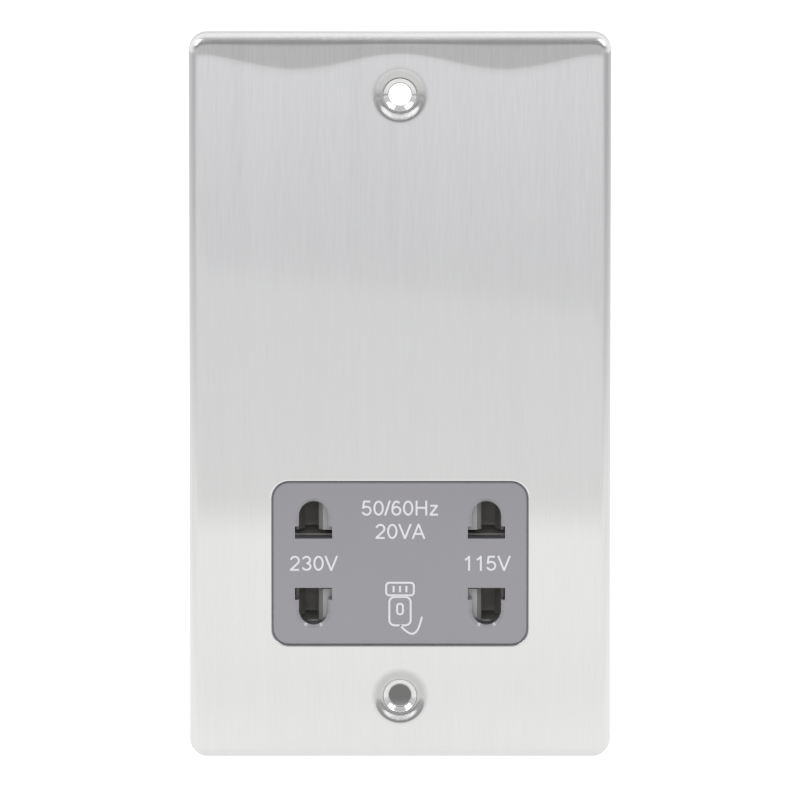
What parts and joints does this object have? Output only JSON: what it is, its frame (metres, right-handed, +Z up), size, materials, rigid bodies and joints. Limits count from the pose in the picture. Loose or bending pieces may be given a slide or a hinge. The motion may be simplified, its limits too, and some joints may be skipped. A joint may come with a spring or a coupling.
{
  "type": "shaver socket",
  "caption": "Portrait brushed-steel wall plate with a grey dual-voltage shaver socket, sliding interlock shutter, isolating transformer and supply terminals in a stepped rear housing.",
  "frame": {"origin": "centre of the plate on the wall plane, midway between the fixing holes", "axes": "+X to the viewer's right across the plate, +Y into the wall, +Z up"},
  "size_m": [0.0838, 0.0425, 0.1452],
  "materials": {
    "plate_steel": "brushed",
    "plated_steel": "satin",
    "face_plastic": "satin",
    "shutter_plastic": "satin",
    "carrier_plastic": "matte",
    "housing_plastic": "matte",
    "bobbin_plastic": "matte",
    "brass": "satin",
    "spring_bronze": "satin",
    "core_steel": "satin",
    "copper": "gloss",
    "tape": "satin",
    "tinned_wire": "satin",
    "cutout_case": "matte",
    "lead_brown": "satin",
    "lead_blue": "satin",
    "lead_white": "satin",
    "lead_red": "satin",
    "lead_yellow": "satin"
  },
  "bodies": {
    "socket_unit": {"front_plate": "plate_steel", "weld_studs": "plated_steel", "stud_nuts": "plated_steel", "face_moulding": "face_plastic", "shutter_spring_left": "spring_bronze", "shutter_spring_right": "spring_bronze", "contact_carrier": "carrier_plastic", "common_contact": "spring_bronze", "contact_230v": "spring_bronze", "contact_115v": "spring_bronze", "laminated_core": "core_steel", "bobbin": "bobbin_plastic", "secondary_winding": "copper", "primary_winding": "copper", "secondary_tape": "tape", "primary_tape": "tape", "bobbin_pins": "tinned_wire", "thermal_cutout": "cutout_case", "rear_housing": "housing_plastic", "live_terminal": "brass", "neutral_terminal": "brass", "earth_terminal": "brass", "terminal_screws": "plated_steel", "earth_strap": "plated_steel", "lead_live": "lead_brown", "lead_cutout": "lead_brown", "lead_neutral": "lead_blue", "lead_common": "lead_white", "lead_230v": "lead_red", "lead_115v": "lead_yellow"},
    "shutter": {"interlock_shutter": "shutter_plastic"}
  },
  "joints": [
    {"name": "interlock_slide", "type": "slide", "parent": "socket_unit", "child": "shutter", "axis": [1, 0, 0], "range_m": [-0.002, 0.002], "stiffness_N_per_m": 250, "deforming": ["shutter_spring_left", "shutter_spring_right"]}
  ]
}
